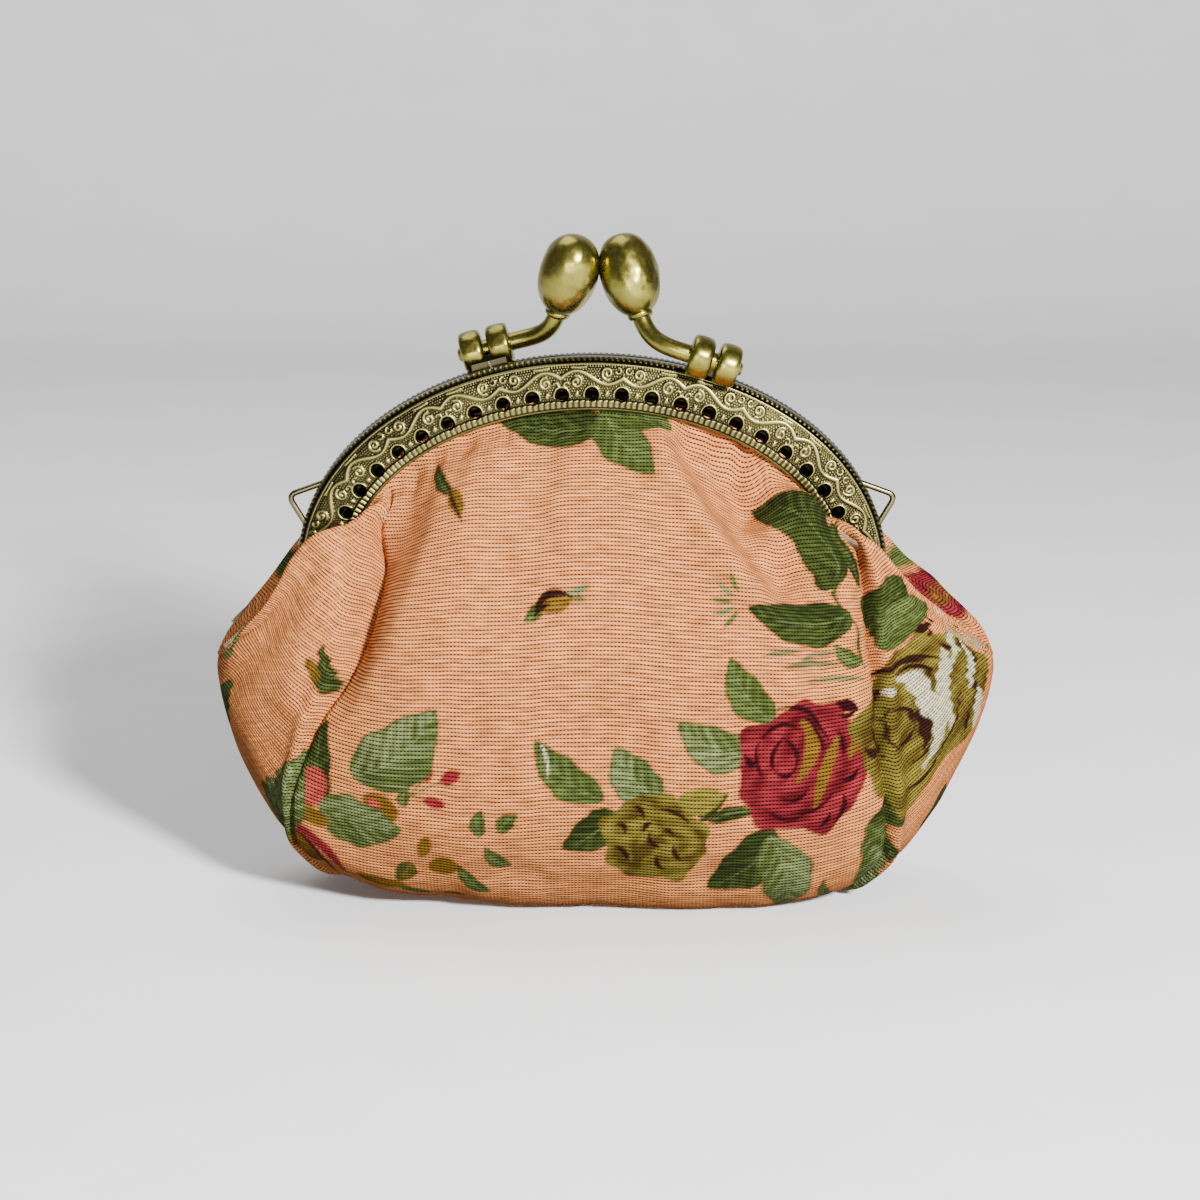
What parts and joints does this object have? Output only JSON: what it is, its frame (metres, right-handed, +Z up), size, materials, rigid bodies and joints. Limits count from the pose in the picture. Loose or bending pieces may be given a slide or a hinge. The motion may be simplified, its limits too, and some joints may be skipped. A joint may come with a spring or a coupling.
{
  "type": "kiss-lock coin purse",
  "caption": "Small floral cloth coin purse with an arched antique-brass frame, two crossing kiss-lock knobs, side gussets and wire chain loops",
  "frame": {"origin": "middle of the underside of the pouch, on the surface it stands on", "axes": "+Z up; +X to the right along the width of the frame; -Y is the front face of the pouch"},
  "size_m": [0.1128, 0.044, 0.0968],
  "materials": {
    "antique_brass": "antiqued brass plate, dark in the recesses",
    "printed_cloth": "coarse plain-weave cotton, salmon ground with a printed flower pattern",
    "lining": "plain fine cotton",
    "paper_cord": "twisted paper cord"
  },
  "bodies": {
    "pouch": {"front_panel": "printed_cloth", "rear_panel": "printed_cloth", "left_gusset": "printed_cloth", "right_gusset": "printed_cloth", "front_lining": "lining", "rear_lining": "lining"},
    "front_half": {"front_frame": "antique_brass", "left_hinge_rivet": "antique_brass", "right_hinge_rivet": "antique_brass", "left_chain_loop": "antique_brass", "right_chain_loop": "antique_brass", "front_clasp_base": "antique_brass", "front_clasp_arm": "antique_brass", "front_clasp_knob": "antique_brass", "front_clasp_rivet": "antique_brass", "front_packing_cord": "paper_cord", "front_panel_top": "printed_cloth", "front_lining_top": "lining"},
    "rear_half": {"rear_frame": "antique_brass", "rear_clasp_base": "antique_brass", "rear_clasp_arm": "antique_brass", "rear_clasp_knob": "antique_brass", "rear_clasp_rivet": "antique_brass", "rear_packing_cord": "paper_cord", "rear_panel_top": "printed_cloth", "rear_lining_top": "lining"}
  },
  "joints": [
    {"name": "front_opening", "type": "hinge", "parent": "pouch", "child": "front_half", "pos_m": [0, 0, 0.049], "axis": [1, 0, 0], "range_deg": [0, 40], "deforming": ["front_panel_top", "front_lining_top"]},
    {"name": "rear_opening", "type": "hinge", "parent": "pouch", "child": "rear_half", "pos_m": [0, 0, 0.049], "axis": [-1, 0, 0], "range_deg": [0, 40], "deforming": ["rear_panel_top", "rear_lining_top"]}
  ],
  "couplings": [
    {"joint": "rear_opening", "follows": "front_opening", "ratio": 1}
  ]
}
